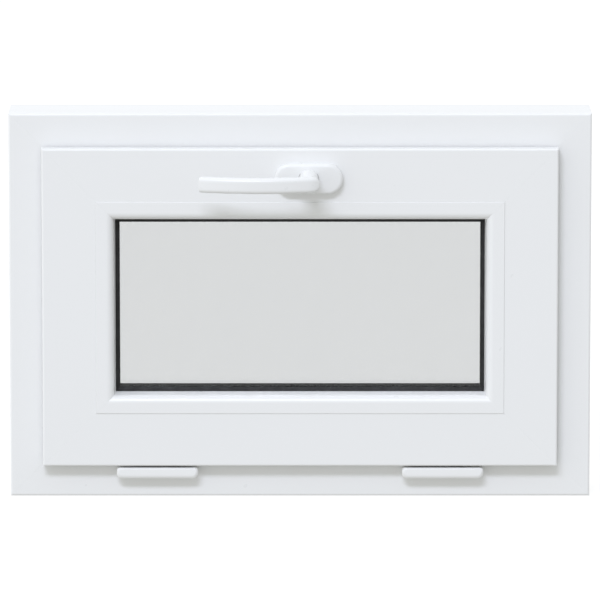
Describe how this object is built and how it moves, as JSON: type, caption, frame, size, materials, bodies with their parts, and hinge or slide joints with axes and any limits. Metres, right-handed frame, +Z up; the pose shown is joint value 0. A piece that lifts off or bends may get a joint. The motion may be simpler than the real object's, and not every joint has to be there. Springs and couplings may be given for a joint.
{
  "type": "casement window",
  "caption": "Bottom-hung white casement window: a glazed sash tilts into the room on low hinges, held by side stays and locked by a lever handle on its top rail.",
  "frame": {"origin": "middle of the frame's bottom face, halfway through its depth", "axes": "+X to the right seen from the room, +Y out of the room towards the weather, +Z up"},
  "size_m": [0.6, 0.1517, 0.4],
  "materials": {
    "white_pvc": "smooth white PVC, satin gloss",
    "white_trim": "moulded white plastic, satin gloss",
    "white_handle": "white powder coat on die-cast aluminium",
    "black_gasket": "matt black EPDM",
    "clear_glass": "clear float glass",
    "spacer_aluminium": "mill-finish aluminium with fine perforations",
    "sealant": "black polysulphide edge sealant",
    "block_plastic": "dark green glazing packer",
    "base_plastic": "grey engineering plastic",
    "zinc_steel": "zinc-plated steel, silver passivated",
    "galvanised_steel": "galvanised roll-formed steel",
    "pin_steel": "bright drawn steel",
    "gear_steel": "sintered steel"
  },
  "bodies": {
    "frame": {"frame_sill": "white_pvc", "frame_jamb_left": "white_pvc", "frame_head": "white_pvc", "frame_jamb_right": "white_pvc", "frame_reinforcements": "galvanised_steel", "frame_rebate_seal": "black_gasket", "drain_caps": "white_trim", "hinge_base_left": "zinc_steel", "hinge_base_right": "zinc_steel", "hinge_pin_left": "pin_steel", "hinge_pin_right": "pin_steel", "hinge_cover_left": "white_trim", "hinge_cover_right": "white_trim", "hinge_base_screws": "zinc_steel", "striker_left": "zinc_steel", "striker_right": "zinc_steel", "striker_screws": "zinc_steel", "stay_bracket_left": "zinc_steel", "stay_bracket_right": "zinc_steel", "stay_bracket_screws": "zinc_steel"},
    "sash": {"sash_bottom_rail": "white_pvc", "sash_stile_left": "white_pvc", "sash_top_rail": "white_pvc", "sash_stile_right": "white_pvc", "sash_reinforcements": "galvanised_steel", "sash_overlap_seal": "black_gasket", "outer_glazing_gasket": "black_gasket", "glass_pane_outer": "clear_glass", "glazing_spacer": "spacer_aluminium", "edge_sealant": "sealant", "glass_pane_inner": "clear_glass", "setting_blocks": "block_plastic", "bead_gasket": "black_gasket", "bead_bottom": "white_pvc", "bead_left": "white_pvc", "bead_top": "white_pvc", "bead_right": "white_pvc", "hinge_leaf_left": "zinc_steel", "hinge_leaf_right": "zinc_steel", "hinge_leaf_screws": "zinc_steel", "espagnolette_faceplate": "zinc_steel", "faceplate_screws": "zinc_steel", "gearbox_front": "zinc_steel", "gearbox_back": "zinc_steel", "stay_track_left": "zinc_steel", "stay_track_right": "zinc_steel", "stay_track_screws": "zinc_steel", "handle_base": "base_plastic", "rosette_cover": "white_handle", "handle_screws": "zinc_steel"},
    "handle": {"handle_lever": "white_handle", "handle_spindle": "zinc_steel", "detent_ring": "base_plastic", "gear_pinion": "gear_steel"},
    "lock_rod": {"drive_rod": "zinc_steel", "locking_cams": "zinc_steel"},
    "stay_left": {"stay_arm_left": "zinc_steel"},
    "stay_right": {"stay_arm_right": "zinc_steel"}
  },
  "joints": [
    {"name": "sash_tilt", "type": "hinge", "parent": "frame", "child": "sash", "pos_m": [0, -0.0445, 0.0265], "axis": [1, 0, 0], "range_deg": [0, 30]},
    {"name": "handle_turn", "type": "hinge", "parent": "sash", "child": "handle", "pos_m": [0.009, -0.022, 0.3355], "axis": [0, -1, 0], "range_deg": [0, 90]},
    {"name": "lock_slide", "type": "slide", "parent": "sash", "child": "lock_rod", "axis": [1, 0, 0], "range_m": [0, 0.01571]},
    {"name": "stay_left_swing", "type": "hinge", "parent": "frame", "child": "stay_left", "pos_m": [-0.253, -0.022, 0.12], "axis": [1, 0, 0], "range_deg": [0, 60]},
    {"name": "stay_right_swing", "type": "hinge", "parent": "frame", "child": "stay_right", "pos_m": [0.253, -0.022, 0.12], "axis": [1, 0, 0], "range_deg": [0, 60]}
  ],
  "couplings": [
    {"joint": "lock_slide", "follows": "handle_turn", "m_per_rad": 0.01},
    {"joint": "stay_left_swing", "follows": "sash_tilt", "ratio": 2},
    {"joint": "stay_right_swing", "follows": "sash_tilt", "ratio": 2}
  ]
}
